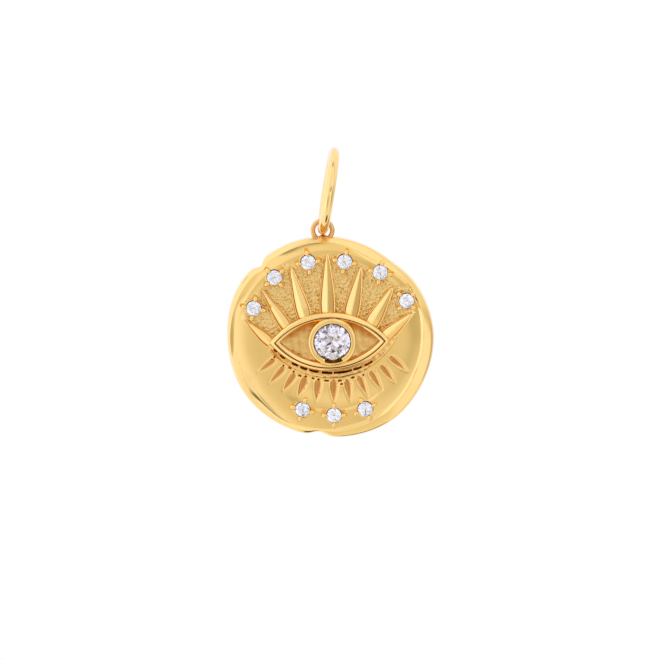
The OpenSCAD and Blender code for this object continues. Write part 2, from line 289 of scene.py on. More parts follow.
def painted_shade_group():
    """Plate colour with painted shade: from the open surface (0) to a shaded groove's bottom (1) and a slot
    in near-black painted shade (2).
    """
    tree, given = new_group("painted_shade_tone", "ShaderNodeTree",
                            (("Vector", VECTOR), ("Recess", NUMBER, 0), ("Open", COLOUR), ("Deep", COLOUR)),
                            (("Color", COLOUR),))
    cloud = new_node(tree, "ShaderNodeTexNoise", {"Vector": given["Vector"], "Scale": 2600, "Detail": 2})
    spread = new_node(tree, "ShaderNodeMapRange", {"Value": cloud, "To Min": 0.85, "To Max": 1.15})
    depth = math_node(tree, "MULTIPLY", spread, given["Recess"])
    tone = colour_mix(tree, depth, given["Open"], given["Deep"])
    black_shaded = colour_mix(tree, math_node(tree, "SUBTRACT", depth, 1, use_clamp=True), tone, (*BLACK_SHADE, 1))
    new_node(tree, "NodeGroupOutput", {"Color": black_shaded})
    return tree


hand_polish = hand_polish_group()
sandblast = sandblast_group()
painted_shade_tone = painted_shade_group()


def new_material(name):
    """Material with its tree and the place on the piece that its patterns follow."""
    material = bpy.data.materials.new(name)
    material.use_nodes = True
    tree = material.node_tree
    return material, tree, new_node(tree, "ShaderNodeTexCoord").outputs["Object"]


def gold_material(name, colour, smooth, dull, ripple, blast=0.0):
    """Gold plate. The painted shade on its points darkens its colour where shade falls, and the blasted
    attribute turns it matt and pitted, with a darker colour and painted shade in its pits.
    """
    material, tree, where = new_material(name)
    # Painted shade, as written on the points
    painted_shade = new_node(tree, "ShaderNodeAttribute", attribute_name="painted_shade").outputs["Fac"]
    polish = new_node(tree, "ShaderNodeGroup",
                      {"Vector": where, "Smooth": smooth, "Dull": dull, "Ripple": ripple},
                      node_tree=hand_polish).outputs
    rough, height, plate = polish["Roughness"], polish["Height"], (*colour, 1)
    if blast:
        mask = new_node(tree, "ShaderNodeAttribute", attribute_name="blasted").outputs["Fac"]
        pits = new_node(tree, "ShaderNodeGroup", {"Vector": where}, node_tree=sandblast).outputs
        rough = new_node(tree, "ShaderNodeMix", {"Factor": mask, "A": rough, "B": blast})
        height = new_node(tree, "ShaderNodeMix", {"Factor": mask, "A": height, "B": pits["Height"]})
        plate = colour_mix(tree, mask, plate, (*SHADED_GROUND_GOLD, 1))
        # Painted shade at the pits' bottoms and a little painted light between them
        bottoms = math_node(tree, "SUBTRACT", 0.5, pits["Pits"])
        painted_shade = math_node(tree, "MULTIPLY_ADD", mask, bottoms, painted_shade)
    tone = new_node(tree, "ShaderNodeGroup",
                    {"Vector": where, "Recess": painted_shade, "Open": plate, "Deep": (*SHADE_GOLD, 1)},
                    node_tree=painted_shade_tone)
    bump = new_node(tree, "ShaderNodeBump",
                    {"Height": height, "Distance": BUMP_DEPTH, "Strength": BUMP_STRENGTH})
    feed(tree, tree.nodes["Principled BSDF"],
         {"Base Color": tone, "Metallic": 1, "Roughness": rough, "Normal": bump})
    return material


coin_gold = gold_material("coin_gold", GOLD, smooth=0.10, dull=0.2, ripple=0.5, blast=0.45)
relief_gold = gold_material("relief_gold", GOLD, smooth=0.08, dull=0.16, ripple=0.3)
wire_gold = gold_material("wire_gold", WIRE_GOLD, smooth=0.05, dull=0.1, ripple=0.15)

# Coin. A cast disc whose edge was pushed by hand, like sealing wax: a soft, uneven rim with two
# notches, a smooth dish below the eye, and a sunk, sandblasted ground between the first and last ray.
SECTORS = 640
# Edge and inner crease of the rim every 30 degrees, anticlockwise from the right
EDGE_R = (9.95, 9.72, 9.54, 9.92, 10.14, 10.31, 10.11, 10.16, 9.98, 10, 10.19, 10.01)
CREASE_R = (8.7, 8.95, 8.25, 8.57, 8.69, 9.05, 9.35, 9.1, 9.34, 8.95, 8.72, 8.6)
# Dents in the edge, the two notches first: angle, depth, half width in degrees
DENTS = ((131.3, 0.42, 3.6), (259.5, 0.48, 5.5), (47, 0.12, 10))
HALF_T = 0.85
FIELD_Z, FIELD_RISE, FIELD_WAVES = 0.32, 0.02, 0.010
DISH_DEEP, DISH_R = 0.05, 6.5
GROUND_Z = 0.12
CREST_Z, RIM_FALL = 0.70, 0.36
# Share of the rim's width that lies inside its crest
CREST_AT = (0.22, 0.26, 0.34, 0.68, 0.66, 0.62, 0.62, 0.6, 0.5, 0.4, 0.3, 0.18)
# Sides where the rim runs flush into the field and where its face is flat: middle, half width
FLUSH_SIDE, FLAT_SIDE = (268, 32), (47, 24)
FLAT_RISE = 0.14
# The crest: its waves, and how much lower it is on the flush and on the flat side
CREST_WAVES, FLUSH_DROP, FLAT_DROP = 0.03, 0.22, 0.14
# The bevel outside the crest: its height, how much of it the crisp edge lacks, and how late it bends
# down: everywhere, more at the crisp edge and more on the right
BEVEL_H, CRISP_LACK = 0.42, 0.24
BEVEL_BEND, CRISP_BEND, RIGHT_BEND = 9, 7, 8
# Sides where the rim falls less and where the bevel bends later: middle, half width
LOW_SIDE, RIGHT_SIDE = (276, 45), (-5, 45)
# The slit in the rim: share of the way from crest to edge, half width, depth and painted shade
SLIT_AT, SLIT_WIDE, SLIT_DEEP, SLIT_TONE = 0.7, 0.06, 0.12, 0.5
# Stretches by degrees, each with its start, the two ends of its full part and its end: the rim's crisp
# edge, the slit in it, where the field curls up less to the rim and where it swells inside the rim
CRISP_SIDE, SLIT_SIDE = (54, 66, 114, 124), (138.5, 140, 144, 146)
UPPER_SIDE, SWELL_SIDE = (8, 40, 145, 172), (226, 246, 296, 316)
# The curl: its width, height and bend, and the shares of it missing on the flush and the upper side
CURL_W, CURL_H, CURL_BEND, FLUSH_LOSS, UPPER_LOSS = 1.9, 0.26, 2.2, 0.8, 0.85
# The swell: its height, the radii where it begins, is highest and has ended, and the line of painted shade
# behind it
SWELL_H, SWELL_FROM, SWELL_TOP, SWELL_TO, SWELL_LINE = 0.12, 5.2, 7.0, 7.5, 7.05
# The sandblasted ground: depth of its grains, their shortest and longest wave, and how far its outer
# edge wanders
GRAIN_DEEP, GRAIN_SIZES, GROUND_WANDER = 0.045, (0.2, 0.5), 0.25
# Painted shade, where shade falls: behind the swell, on the ground, in its grains' hollows, along the eye's
# foot, on the eye's floor and more under its upper arc as painted shadow, and in a lash
SWELL_TONE, GROUND_TONE, GRAIN_TONE, FOOT_TONE = 0.12, 0.04, 0.11, 0.1
FLOOR_TONE, SHADED_TONE, LASH_TONE = 0.32, 0.66, 0.74
# Rows over the face, as shares of the crease's radius
FACE_ROWS = np.concatenate(([0.7, 1.4], np.arange(1.9, 8.61, 0.072))) / 8.6
# Rows over the rim: from its crease (0) over its crest (1) to its edge (2)
RIM_STEPS = (0.08, 0.16, 0.25, 0.35, 0.45, 0.55, 0.65, 0.75, 0.83, 0.9, 0.95, 1, 1.04, 1.09, 1.16, 1.25,
             1.35, 1.45, 1.55, 1.65, 1.73, 1.8, 1.85, 1.89, 1.92, 1.95, 1.975, 2)
# Rows over the side and the back: inset from the edge, height
BACK_ROWS = ((0, -0.3), (0.03, -0.5), (0.12, -0.66), (0.28, -0.77), (0.5, -0.83), (0.9, -HALF_T),
             *((inset, -HALF_T) for inset in np.arange(1.3, 9.4, 0.4)))
BACK_WAVES = 0.03
EYE_MID = (-0.18, -0.32)
EYE_TURN = math.radians(-2.5)
EYE_HALF_LEN, EYE_HALF_H = 5.85, 2.9
EYE_FLOOR_Z, EYE_FLOOR_WAVES, EYE_FLOOR_BLAST = 0.16, 0.008, 0.2
# Engraved lashes from the left: middle u and v, direction outwards, shares of the length and width
LASHES = ((-6.34, -2.33, 214, 0.92, 0.8), (-5.43, -3.35, 224, 0.95, 0.86), (-4.29, -4.08, 233, 0.93, 0.94),
          (-3.1, -4.59, 245, 0.95, 0.98), (-1.65, -5.01, 260, 0.97, 0.96), (-0.07, -5.16, 267, 0.98, 1),
          (1.35, -5.2, 275, 0.95, 0.93), (2.75, -4.87, 291, 0.93, 0.86), (4.02, -4.41, 298, 0.95, 0.88),
          (5.18, -3.82, 305, 0.93, 0.88), (6.24, -2.92, 317, 0.95, 0.86))
LASH_LEN, LASH_W, LASH_DEEP, LASH_OUT = 2.35, 0.76, 0.09, 0.12
# Share of a lash's length that is its round end
LASH_ROUND = 0.22
# Distances from a lash's outline where its side begins and where it is deepest, and the burr along it
LASH_SIDE = (0.01, -0.22)
BURR_H, BURR_OUT = 0.035, 0.06
LID_FOOT_MID, LID_FOOT_R = (0.15, 2.95), 7.2
# The hollow under the lower lid's own piece, by degrees about the frame's lower arc
LID_HOLLOW, LID_HOLLOW_DEEP = (-48, -46, 32, 34), 0.5
# Casting pits along the lower lid's foot: u, v and size along the foot
PITS = ((-5.63, -1.62, 0.2), (-4.81, -2.52, 0.18), (-4.19, -2.78, 0.34), (-3.84, -3.17, 0.18),
        (-3.28, -3.6, 0.34), (-2.72, -3.7, 0.18), (-2.01, -3.95, 0.26), (-1.49, -4.07, 0.15),
        (-0.71, -4.26, 0.5), (0.58, -4.33, 0.4), (0.73, -4.68, 0.26), (1.85, -4.1, 0.4), (2.9, -3.9, 0.18))
# Near-black painted shade in the pits, and their depth in the field and in the lower lid
PIT_SHADE, PIT_DEEP, LID_PIT_DEEP = 1.8, 0.2, 0.3
# Wells under the stones: radius, height of the bottom
SMALL_WELL, CENTER_WELL = (0.64, -0.3), (2.0, -0.62)
# The mound round a small stone: height, radius, and the share of it that stays off the sunk ground
MOUND_H, MOUND_R, MOUND_OFF_GROUND = 0.12, 1.25, 0.4
# Rays from the left: tip u and v, root u and v, share of the width
RAYS = ((-8.14, 2.1, -5.94, -0.13, 0.77), (-6.46, 5.13, -4.13, 1.08, 0.82), (-3.56, 7.23, -2.42, 2.02, 0.98),
        (0.05, 8.36, -0.25, 2.28, 1), (3.27, 6.82, 1.93, 1.9, 1.02), (6.21, 4.61, 3.76, 0.84, 1.01),
        (8.03, 1.97, 4.95, -0.42, 0.93))


def smoothstep(low, high, x):
    t = np.clip((x - low) / (high - low), 0, 1)
    return t * t * (3 - 2 * t)


def between(side, x):
    """1 between the middle two of four values and 0 outside them, with soft ends."""
    rise, full, fall, end = side
    return smoothstep(rise, full, x) * smoothstep(end, fall, x)


def away_from(at, degrees):
    """Degrees from a direction, between -180 and 180."""
    return (degrees - at + 180) % 360 - 180


def around(table, degrees):
    """Smooth closed curve through values at equal angles."""
    n = len(table)
    u = degrees * n / 360
    i = np.floor(u).astype(int)
    f = u - i
    p, q, r, s = (np.take(np.array(table), (i + k) % n) for k in (-1, 0, 1, 2))
    return q + 0.5 * f * (r - p + f * (2 * p - 5 * q + 4 * r - s + f * (3 * (q - r) + s - p)))


def ripples(x, y, seed, shortest, longest, waves):
    """Sum of waves in random directions: a soft surface with no grid, the same on every run."""
    draw = np.random.default_rng(seed)
    total = np.zeros_like(x)
    for _ in range(waves):
        heading = draw.uniform(0, 2 * math.pi)
        length = draw.uniform(shortest, longest)
        phase = draw.uniform(0, 2 * math.pi)
        total += np.sin(2 * math.pi / length * (x * math.cos(heading) + y * math.sin(heading)) + phase)
    return total / math.sqrt(waves / 2)


def bell(x, middle, half):
    return np.exp(-((x - middle) / half) ** 2)


def turned(x, y, mid, angle):
    """Coordinates about mid along an axis at that angle."""
    c, s = math.cos(angle), math.sin(angle)
    return (x - mid[0]) * c + (y - mid[1]) * s, -(x - mid[0]) * s + (y - mid[1]) * c


def edge_radius(degrees):
    r = around(EDGE_R, degrees)
    for at, depth, half in DENTS:
        r -= depth * bell(away_from(at, degrees), 0, half)
    return r


def almond_arc(half_len, half_h):
    """Radius of the almond's two arcs, and how far their centres lie past its middle."""
    r = (half_len ** 2 + half_h ** 2) / (2 * half_h)
    return r, r - half_h


ARC_R, ARC_PAST = almond_arc(EYE_HALF_LEN, EYE_HALF_H)


def eye_inset(x, y):
    """How far a point lies inside the eye frame's outer foot, and its height in the eye."""
    a, b = turned(x, y, EYE_MID, EYE_TURN)
    return ARC_R - np.hypot(a, np.abs(b) + ARC_PAST), b


def lash_distance(x, y):
    """Distance to the nearest lash: a drop, round at the eye's side and pointed outside."""
    nearest = np.full_like(x, 99.0)
    for u, v, heading, long, wide in LASHES:
        a, b = turned(x, y, (u, v), math.radians(heading))
        a -= LASH_OUT
        s = np.clip(a / (long * LASH_LEN) + 0.5, 0, 1)
        round_end = np.sqrt(np.clip(1 - (1 - np.minimum(s / LASH_ROUND, 1)) ** 2, 0, 1))
        point_end = 1 - np.clip((s - LASH_ROUND) / (1 - LASH_ROUND), 0, 1) ** 2
        beside = np.abs(b) - wide * LASH_W / 2 * round_end * point_end
        past = np.maximum(np.abs(a) - long * LASH_LEN / 2, 0)
        nearest = np.minimum(nearest, np.hypot(np.maximum(beside, 0), past) + np.minimum(beside, 0))
    return nearest


def drawn_to_lashes(x, y, near=0.036, step=0.005):
    """Moves the points near a lash's outline onto it, so that the cut has a clean edge."""
    cut = lash_distance(x, y)
    slope_x = (lash_distance(x + step, y) - cut) / step
    slope_y = (lash_distance(x, y + step) - cut) / step
    pull = np.where(np.abs(cut) < near, cut, 0)
    return x - pull * slope_x, y - pull * slope_y


def casting_pits(x, y):
    """1 in the middle of the small pits left open along the lower lid's foot."""
    pits = np.zeros_like(x)
    for u, v, size in PITS:
        a, b = turned(x, y, (u, v), math.atan2(v - LID_FOOT_MID[1], u - LID_FOOT_MID[0]) + math.pi / 2)
        pits = np.maximum(pits, np.exp(-((a / (0.5 * size)) ** 4 + (b / 0.09) ** 4)))
    return pits


def fan(x, y):
    """1 on the sunk ground above the lines of the first and the last ray, 0 elsewhere."""
    sunk = 1.0
    for side, ray in ((-1, RAYS[0]), (1, RAYS[-1])):
        tip, root = np.array(ray[:2]), np.array(ray[2:4])
        along = (tip - root) / np.hypot(*(tip - root))
        above = side * (along[0] * (y - root[1]) - along[1] * (x - root[0]))
        sunk *= smoothstep(-0.2, 0.15, above)
    return sunk * smoothstep(-1.6, -1.2, y)


stone_names = ["accent_stone_%d" % i for i in range(1, 10)]
stone_mids = []
for stone_name in stone_names:
    low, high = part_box(stone_name)
    middle = (low + high) / 2 - COIN
    stone_mids.append((middle.x / MM, middle.z / MM))


def coin_face(x, y, crease):
    """Height of the face inside the rim's crease, how sandblasted it is and its painted shade."""
    radius = np.hypot(x, y)
    degrees = np.degrees(np.arctan2(y, x)) % 360
    w = FIELD_Z + FIELD_RISE - DISH_DEEP * (radius / DISH_R) ** 2 + FIELD_WAVES * ripples(x, y, 5, 3.5, 7, 12)
    flush, upper = bell(degrees, *FLUSH_SIDE), between(UPPER_SIDE, degrees)
    curl = CURL_H * (1 - FLUSH_LOSS * flush) * (1 - UPPER_LOSS * upper)
    w += curl * np.clip((radius - crease + CURL_W) / CURL_W, 0, 1) ** CURL_BEND
    w += FLAT_RISE * bell(degrees, *FLAT_SIDE) * smoothstep(crease - 1.3, crease, radius)
    swell = between(SWELL_SIDE, degrees)
    rise = smoothstep(SWELL_FROM, SWELL_TOP, radius) - smoothstep(SWELL_TOP, SWELL_TO, radius)
    w += SWELL_H * swell * rise
    painted_shade = SWELL_TONE * swell * bell(radius, SWELL_LINE, 0.08)
    # The sunk ground and its sandblasting, with painted shade in its grains' hollows and along the eye's foot
    sunk = fan(x, y) * smoothstep(crease - 0.1, crease - 1.5, radius)
    w -= (FIELD_Z - GROUND_Z) * sunk
    inset, height = eye_inset(x, y)
    uneven = radius + GROUND_WANDER * ripples(x, y, 29, 0.8, 2.4, 14)
    blasted = fan(x, y) * smoothstep(0.1, -0.05, inset) * smoothstep(crease - 0.3, crease - 1.0, uneven)
    grains = ripples(x, y, 11, *GRAIN_SIZES, 80)
    w += GRAIN_DEEP * blasted * grains
    grain_tone = GRAIN_TONE * np.clip(-grains, -0.5, 1.8)
    painted_shade += blasted * (GROUND_TONE + grain_tone + FOOT_TONE * bell(inset, 0, 0.25))
    # The eye's floor in painted shade, with a painted shadow under the upper arc of the frame
    floor = smoothstep(0.45, 0.55, inset)
    w = w * (1 - floor) + (EYE_FLOOR_Z + EYE_FLOOR_WAVES * ripples(x, y, 17, 0.5, 1.2, 24)) * floor
    blasted = np.maximum(blasted, EYE_FLOOR_BLAST * floor)
    shaded = smoothstep(1.75, 0.95, inset) * smoothstep(-0.3, 0.6, height)
    painted_shade = np.where(floor > 0.5, FLOOR_TONE + SHADED_TONE * shaded, painted_shade)
    # The lashes, with a slight burr along each cut and painted shade inside
    cut = lash_distance(x, y)
    w -= LASH_DEEP * smoothstep(*LASH_SIDE, cut)
    w += BURR_H * bell(cut, BURR_OUT, BURR_OUT)
    painted_shade += LASH_TONE * smoothstep(0.0, -0.1, cut)
    # Room for the lower lid and the stones, and the casting pits with painted shade in them
    along_lid = np.degrees(np.arctan2(turned(x, y, EYE_MID, EYE_TURN)[0], ARC_PAST - height))
    under_lid = between(LID_HOLLOW, along_lid) * smoothstep(-0.5, -0.8, height)
    w -= LID_HOLLOW_DEEP * under_lid * smoothstep(-0.62, -0.54, inset) * smoothstep(0.06, 0.0, inset)
    pits = casting_pits(x, y)
    w -= PIT_DEEP * pits
    painted_shade += PIT_SHADE * pits
    for u, v in stone_mids:
        away = np.hypot(x - u, y - v)
        mound = MOUND_H * np.maximum(sunk, MOUND_OFF_GROUND) * bell(away, 0, MOUND_R)
        w = np.where(away < SMALL_WELL[0], SMALL_WELL[1], w + mound)
    away = np.hypot(x - CENTER_MID[0], y - CENTER_MID[1])
    w = np.where(away < CENTER_WELL[0], CENTER_WELL[1], w)
    return w, blasted, painted_shade


def coin_rows():
    """Rings of the coin from the front's middle over the rim to the back's middle."""
    degrees = np.arange(SECTORS) * 360 / SECTORS
    angle = np.radians(degrees)
    plain = np.zeros(SECTORS)
    edge, crease = edge_radius(degrees), around(CREASE_R, degrees)
    rows = []
    for share in FACE_ROWS:
        x, y = drawn_to_lashes(crease * share * np.cos(angle), crease * share * np.sin(angle))
        rows.append((x, y, *coin_face(x, y, crease)))
    base = rows[-1][2]
    wave = ripples(np.cos(angle) * 10, np.sin(angle) * 10, 3, 4, 9, 10)
    crisp, flat_side = between(CRISP_SIDE, degrees), bell(degrees, *FLAT_SIDE)
    crest = CREST_Z + CREST_WAVES * wave - FLUSH_DROP * bell(degrees, *FLUSH_SIDE) - FLAT_DROP * flat_side
    for at, depth, half in DENTS[:2]:
        crest -= 0.25 * depth * bell(away_from(at, degrees), 0, 1.3 * half)
    crest_at = around(CREST_AT, degrees)
    fall = RIM_FALL * (1 - 0.6 * bell(degrees, *LOW_SIDE) - 0.15 * flat_side)
    bevel = (BEVEL_H - CRISP_LACK * crisp) * (1 - 0.2 * flat_side)
    bevel_bend = BEVEL_BEND + CRISP_BEND * crisp + RIGHT_BEND * bell(away_from(0, degrees), *RIGHT_SIDE)
    for step in RIM_STEPS:
        rise, out = min(step, 1), max(step - 1, 0)
        r = crease + (edge - crease) * (crest_at * rise + (1 - crest_at) * out)
        w = base + (crest - base) * rise ** 1.3 - (fall * out ** 1.1 + bevel * np.power(out, bevel_bend))
        slit = between(SLIT_SIDE, degrees) * bell(np.array(out), SLIT_AT, SLIT_WIDE)
        rows.append((r * np.cos(angle), r * np.sin(angle), w - SLIT_DEEP * slit, plain, SLIT_TONE * slit))
    for inset, depth in BACK_ROWS:
        x, y = (edge - inset) * np.cos(angle), (edge - inset) * np.sin(angle)
        soft = BACK_WAVES * ripples(x, y, 23, 6, 12, 10) * smoothstep(0.4, 2.0, inset)
        rows.append((x, y, depth + soft, plain, plain))
    return [np.array(column) for column in zip(*rows)]


def place(u, v, w):
    """Points on the coin, in millimetres, as points of the frame."""
    return np.stack(np.broadcast_arrays(COIN.x + u * MM, -w * MM, COIN.z + v * MM), axis=-1)


def tint(mesh, layer_name, tones):
    """Writes a number on each point of a mesh, which the gold's material reads."""
    layer = mesh.attributes.new(layer_name, "FLOAT", "POINT")
    layer.data.foreach_set("value", np.array(tones, np.float32))


def face_outwards(mesh):
    bm = bmesh.new()
    bm.from_mesh(mesh)
    if bm.calc_volume(signed=True) < 0:
        bmesh.ops.reverse_faces(bm, faces=bm.faces)
        bm.to_mesh(mesh)
    bm.free()


def solid(name, verts, faces, painted_shade):
    mesh = bpy.data.meshes.new(name)
    mesh.from_pydata(verts, [], faces)
    tint(mesh, "painted_shade", painted_shade)
    face_outwards(mesh)
    return mesh


def closed_rows(name, points, painted_shade, joined=False):
    """Closed mesh of rings, row after row: with a fan at each end, or joined into a tube."""
    rows, columns = points.shape[:2]
    here = np.arange(columns)
    after = (here + 1) % columns
    quads = []
    for j in range(rows if joined else rows - 1):
        a, b = j * columns, (j + 1) % rows * columns
        quads.append(np.stack((a + here, b + here, b + after, a + after), axis=-1))
    faces = np.concatenate(quads).tolist()
    verts = points.reshape(-1, 3).tolist()
    tones = list(np.ravel(painted_shade))
    ends = () if joined else ((0, 1), ((rows - 1) * columns, -1))
    for first, way in ends:
        verts.append(np.mean(points.reshape(-1, 3)[first:first + columns], axis=0).tolist())
        tones.append(tones[first])
        faces += [[len(verts) - 1, int(first + h), int(first + n)][::way] for h, n in zip(here, after)]
    return solid(name, verts, faces, tones)


def row_tones(rows, steps):
    """The painted shade of each point of rings whose rows end with it."""
    return np.repeat([row[-1] for row in rows], steps)


def finished(name, mesh, material=relief_gold, body="coin", slot="gold_coin", node="coin", sharp=40):
    """Puts a mesh on its body as a finished piece that stands for the CAD node."""
    mesh.polygons.foreach_set("use_smooth", [True] * len(mesh.polygons))
    if sharp:
        mesh.set_sharp_from_angle(angle=math.radians(sharp))
    mesh.materials.clear()
    mesh.materials.append(material)
    piece = bpy.data.objects.new(name, mesh)
    scene.collection.objects.link(piece)
    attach(piece, body)
    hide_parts(node)


coin_u, coin_v, coin_w, coin_blast, coin_painted_shade = coin_rows()
coin_mesh = closed_rows("coin_body", place(coin_u, coin_v, coin_w), coin_painted_shade)
tint(coin_mesh, "blasted", np.append(coin_blast.ravel(), (0, 0)))
finished("coin_body", coin_mesh, coin_gold, sharp=0)

# Eye frame. The almond is a raised wall cast with the coin: a rounded outer band, a fine groove and
# a broader inner lip, mitred at the two corners of the eye. Its sides drop to the floor.
FRAME_STEPS = 150
# Section of the frame: inset from its foot, height, share of the groove's shift, and painted shade
FRAME_ROWS = ((-0.02, 0.02, 0, 0.5), (-0.02, 0.45, 0, 0.2), (0.0, 0.70, 0, 0), (0.03, 0.78, 0, 0),
              (0.08, 0.83, 0, 0), (0.15, 0.90, 0.4, 0), (0.22, 0.955, 0.8, 0), (0.26, 0.965, 1, 0.2),
              (0.29, 0.87, 1, 1.0), (0.31, 0.84, 1, 1.6), (0.33, 0.87, 1, 1.0), (0.36, 0.93, 1, 0.2),
              (0.40, 0.935, 0.9, 0), (0.52, 0.895, 0.5, 0), (0.64, 0.84, 0.2, 0), (0.73, 0.79, 0, 0),
              (0.775, 0.74, 0, 0), (0.795, 0.66, 0, 0.1), (0.80, 0.5, 0, 0.7), (0.81, 0.05, 0, 1))
# How far the groove is shifted inwards in the middle of the upper arc, at the corners and below
SHIFT_TOP, SHIFT_CORNER, SHIFT_LOW = 0.2, 0.1, 0.04


def almond_ring(inset, share):
    """Points round the almond at an inset from its foot, from the right tip over the top."""
    reach = math.acos(ARC_PAST / (ARC_R - inset - share * SHIFT_CORNER))
    t = np.linspace(reach, -reach, FRAME_STEPS, endpoint=False)
    middle = np.cos(math.pi / 2 * t / reach)
    arcs = []
    for side, shift in ((1, SHIFT_TOP), (-1, SHIFT_LOW)):
        r = ARC_R - inset - share * (SHIFT_CORNER + (shift - SHIFT_CORNER) * middle)
        arcs.append(side * np.stack((r * np.sin(t), r * np.cos(t) - ARC_PAST)))
    return np.concatenate(arcs, axis=1)


def from_eye(a, b):
    """Coin coordinates of points given along and across the eye."""
    c, s = math.cos(EYE_TURN), math.sin(EYE_TURN)
    return EYE_MID[0] + a * c - b * s, EYE_MID[1] + a * s + b * c


frame_points = np.array([place(*from_eye(*almond_ring(inset, share)), w)
                         for inset, w, share, _ in FRAME_ROWS])
frame_mesh = closed_rows("eye_frame", frame_points, row_tones(FRAME_ROWS, 2 * FRAME_STEPS), joined=True)
finished("eye_frame", frame_mesh)

# Lower lid. A ledge cast along the frame's lower foot. A row of slots parts it from the frame, and
# small casting pits stay open where its outer slope meets the field between the lashes.
LID_FROM, LID_TO = -55, 57
# Where the ledge is full between its two low ends, as start, full, full, end
LID_ENDS = (-53, -41, 31, 54)
LID_Z, LID_FIELD_Z = 0.54, FIELD_Z + 0.012
# Share of its height that the ledge keeps past its full stretch, and its waves
LID_LOW, LID_WAVES = 0.25, 0.012
LID_STEPS = (561, 34)
# How far the ledge runs on under the frame and past its own foot
LID_TUCK = 0.12
# Slots: first and last angle about the frame's lower arc, and depth
SLOTS = ((-46.4, -43.6, 0.20), (-40.0, -36.0, 0.30), (-29.4, -25.0, 0.42), (-22.4, -17.6, 0.42),
         (-15.4, -9.0, 0.45), (-6.0, 1.2, 0.45), (2.9, 15.8, 0.42), (17.4, 23.4, 0.3), (26.0, 32.2, 0.25))
# How far the line of slots lies from the frame's foot, by angle
SLOT_LINE = ((-46, -30, -15, 0, 15, 32), (0.15, 0.14, 0.16, 0.22, 0.27, 0.32))
# Half width and soft edge of a slot, and the near-black painted shade in it
SLOT_HALF, SLOT_SOFT, SLOT_SHADE = 0.12, 0.09, 1.4


def lid_strip():
    """Grid over the ledge: along the frame's foot and from under the frame out to the field."""
    angle = np.radians(np.linspace(LID_FROM, LID_TO, LID_STEPS[0]))[:, None]
    out = np.linspace(0, 1, LID_STEPS[1])[None, :]
    c, s = math.cos(EYE_TURN), math.sin(EYE_TURN)
    u0, v0 = from_eye(ARC_R * np.sin(angle), ARC_PAST - ARC_R * np.cos(angle))
    du, dv = np.sin(angle) * c + np.cos(angle) * s, np.sin(angle) * s - np.cos(angle) * c
    pu, pv = u0 - LID_FOOT_MID[0], v0 - LID_FOOT_MID[1]
    along = pu * du + pv * dv
    gap = -along + np.sqrt(along ** 2 + LID_FOOT_R ** 2 - pu ** 2 - pv ** 2)
    away = -LID_TUCK + out * (gap + 2 * LID_TUCK)
    u, v = u0 + away * du, v0 + away * dv
    share = np.clip(away / gap, 0, 1.3)
    degrees = np.degrees(angle)
    ends = between(LID_ENDS, degrees)
    crest = LID_FIELD_Z + (LID_Z - LID_FIELD_Z) * (LID_LOW + (1 - LID_LOW) * ends)
    w = crest - (crest - LID_FIELD_Z + 0.2) * smoothstep(0.5, 1.06, share) ** 1.2
    w += LID_WAVES * ripples(u, v, 31, 0.5, 1.1, 24) * smoothstep(1.1, 0.8, share)
    off_line = np.abs(away - np.interp(degrees, *SLOT_LINE))
    # Painted shade on the outer slope, along the frame's foot and along the line of slots
    painted_shade = 0.14 * smoothstep(0.35, 0.9, share) * smoothstep(1.15, 1.0, share)
    painted_shade = painted_shade + 0.45 * smoothstep(0.2, 0.02, away) + 0.5 * ends * bell(off_line, 0, 0.2)
    for first, last, depth in SLOTS:
        inside = between((first - 0.5, first + 0.7, last - 0.7, last + 0.5), degrees)
        cut = inside * smoothstep(SLOT_HALF, SLOT_HALF - SLOT_SOFT, off_line)
        w -= depth * cut
        painted_shade += (SLOT_SHADE - painted_shade) * cut
    pits = casting_pits(u, v)
    return u, v, w - LID_PIT_DEEP * pits, painted_shade + PIT_SHADE * pits


def slab(name, u, v, w, painted_shade, bottom):
    """Solid under a grid of heights: its top, and the same outline at the bottom height."""
    rows, columns = u.shape
    top = place(u, v, w).reshape(-1, 3)
    under = place(u, v, np.full_like(u, bottom)).reshape(-1, 3)
    index = np.arange(rows * columns).reshape(rows, columns)
    quads = np.stack((index[:-1, :-1], index[1:, :-1], index[1:, 1:], index[:-1, 1:]), axis=-1)
    quads = quads.reshape(-1, 4)
    loop = np.concatenate((index[:-1, 0], index[-1, :-1], index[:0:-1, -1], index[0, :0:-1]))
    after = np.roll(loop, -1)
    down = rows * columns
    sides = np.stack((after, loop, loop + down, after + down), axis=-1)
    faces = np.concatenate((quads, quads[:, ::-1] + down, sides)).tolist()
    return solid(name, np.concatenate((top, under)).tolist(), faces, np.append(painted_shade, painted_shade * 0))


lid_mesh = slab("lower_lid", *lid_strip(), bottom=-0.1)
finished("lower_lid", lid_mesh)

# Bezel. A round collar for the main stone, cast with the frame where the two meet, its lip rubbed
# over the stone's girdle. Below the stone the lip stays open in a straight-sided slot.
BEZEL_STEPS = 240
LIP_R = 1.80
# The slot: distance of its straight side from the stone's middle, half width and soft end in degrees
SLOT_CHORD, SLOT_REACH, SLOT_END = 2.04, 24.5, 0.8
# Rows of the section: radius, height, 1 where the slot opens it, painted shade
BEZEL_ROWS = ((2.35, -0.7, 0, 0.9), (2.35, 0.05, 0, 0.9), (2.348, 0.6, 0, 0), (2.345, 0.95, 0, 0),
              (2.33, 1.06, 0, 0), (2.28, 1.14, 0, 0), (2.18, 1.19, 0, 0), (2.10, 1.205, 0, 0),
              (1.96, 1.20, 0.6, 0), (1.87, 1.18, 0.9, 0), (1.82, 1.14, 1, 0), (LIP_R, 1.08, 1, 0),
              (LIP_R, 0.88, 1, 0.8), (1.78, 0.3, 1, 0), (1.2, 0.0, 0.6, 0), (0.35, -0.34, 0, 0),
              (0.1, -0.52, 0, 0))


